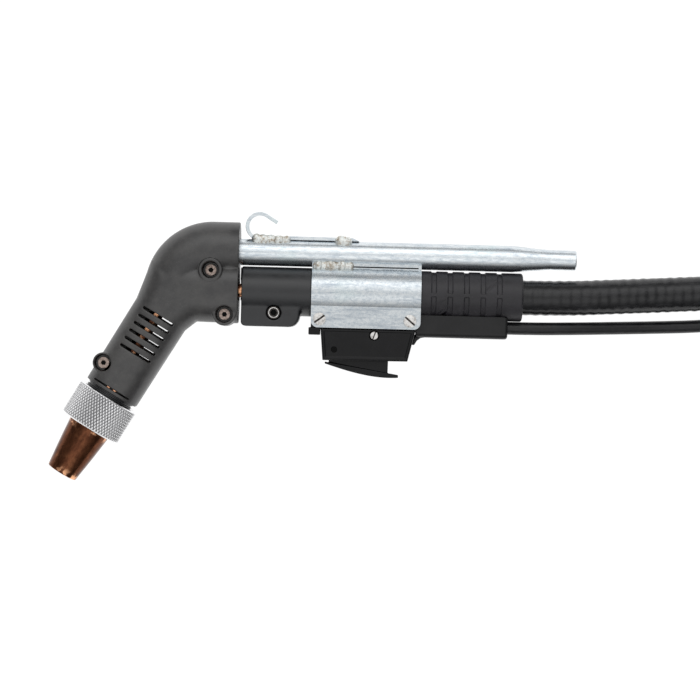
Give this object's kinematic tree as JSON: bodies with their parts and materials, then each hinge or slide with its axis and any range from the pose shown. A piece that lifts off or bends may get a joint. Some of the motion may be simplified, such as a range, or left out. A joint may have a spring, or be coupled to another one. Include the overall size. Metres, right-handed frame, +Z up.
{
  "type": "mig welding torch",
  "caption": "Fume-extracting MIG welding torch: bent neck with copper nozzle, clamped handle with trigger switch, zinc-plated suction tube with hook, and coiled cables.",
  "frame": {"origin": "middle of the base of the torch's box, on the bench it lies on, without the cables", "axes": "+X along the handle towards the cables, +Y towards the hanging hook, +Z up off the bench"},
  "size_m": [0.7921, 0.3159, 0.0544],
  "materials": {
    "black_nylon": "fine moulded texture",
    "black_rubber": "matte",
    "cable_jacket": "satin, faint spiral ripple",
    "switch_plastic": "semi-gloss",
    "zinc": "bright zinc plate",
    "knurled_aluminium": "diamond knurl",
    "copper": "spun copper, lightly tarnished",
    "brass": "turned",
    "dark_steel": "blackened",
    "steel": "bright",
    "weld": "weld metal, heat tinted",
    "insulator": "glass-filled resin",
    "tie_web": "woven strap"
  },
  "bodies": {
    "torch": {"housing_near": "black_nylon", "housing_far": "black_nylon", "housing_screws": "dark_steel", "gooseneck": "copper", "liner": "steel", "neck_collar": "black_nylon", "gas_diffuser": "brass", "contact_tip": "copper", "nozzle_insulator": "insulator", "clamp_body": "black_nylon", "clamp_screw": "dark_steel", "clamp_nut": "steel", "cable_connector": "brass", "cable_core": "copper", "cable_bush": "black_rubber", "handle_tube": "black_nylon", "grip_sleeve": "black_rubber", "bracket_sleeve": "zinc", "bracket_screws": "steel", "bracket_nuts": "steel", "tube_saddle": "zinc", "extraction_tube": "zinc", "hook_strip": "zinc", "weld_beads": "weld", "switch_base": "switch_plastic", "switch_case_near": "switch_plastic", "switch_case_far": "switch_plastic", "case_screw": "steel", "trigger_pin": "dark_steel", "trigger_spring": "steel", "micro_switch": "black_nylon", "switch_leads": "black_rubber", "control_cable_boot": "black_rubber", "main_cable_lead": "cable_jacket", "main_cable_coil": "cable_jacket", "control_cable_lead": "black_rubber", "control_cable_coil": "black_rubber", "coil_ties": "tie_web", "connector_shell": "black_nylon", "connector_body": "brass", "power_pin": "brass", "pin_seals": "black_rubber", "plug_clamp": "black_nylon", "plug_shell": "steel", "plug_insert": "insulator"},
    "nozzle": {"nozzle": "copper"},
    "ring": {"retaining_ring": "knurled_aluminium"},
    "trigger": {"trigger_lever": "switch_plastic"},
    "plunger": {"switch_plunger": "insulator"},
    "plug_ring": {"plug_ring": "knurled_aluminium"}
  },
  "joints": [
    {"name": "nozzle_travel", "type": "slide", "parent": "torch", "child": "nozzle", "axis": [-0.506, -0.8625, 0], "range_m": [0, 0.008]},
    {"name": "ring_turn", "type": "hinge", "parent": "nozzle", "child": "ring", "pos_m": [-0.15234, -0.04832, 0.023], "axis": [-0.506, -0.8625, 0], "range_deg": [0, 1440]},
    {"name": "trigger_press", "type": "hinge", "parent": "torch", "child": "trigger", "pos_m": [0.01539, 0.00068, 0.023], "axis": [0, 0, 1], "range_deg": [0, 8], "stiffness_Nm_per_rad": 0.8, "springref_deg": -6.88},
    {"name": "plunger_travel", "type": "slide", "parent": "torch", "child": "plunger", "axis": [0, 1, 0], "range_m": [0, 0.0018]},
    {"name": "plug_ring_turn", "type": "hinge", "parent": "torch", "child": "plug_ring", "pos_m": [0.44479, -0.11965, 0.0203], "axis": [-0.7771, -0.6293, 0], "continuous": true}
  ],
  "couplings": [
    {"joint": "nozzle_travel", "follows": "ring_turn", "m_per_rad": 0.00031831},
    {"joint": "plunger_travel", "follows": "trigger_press", "m_per_rad": 0.0124}
  ]
}
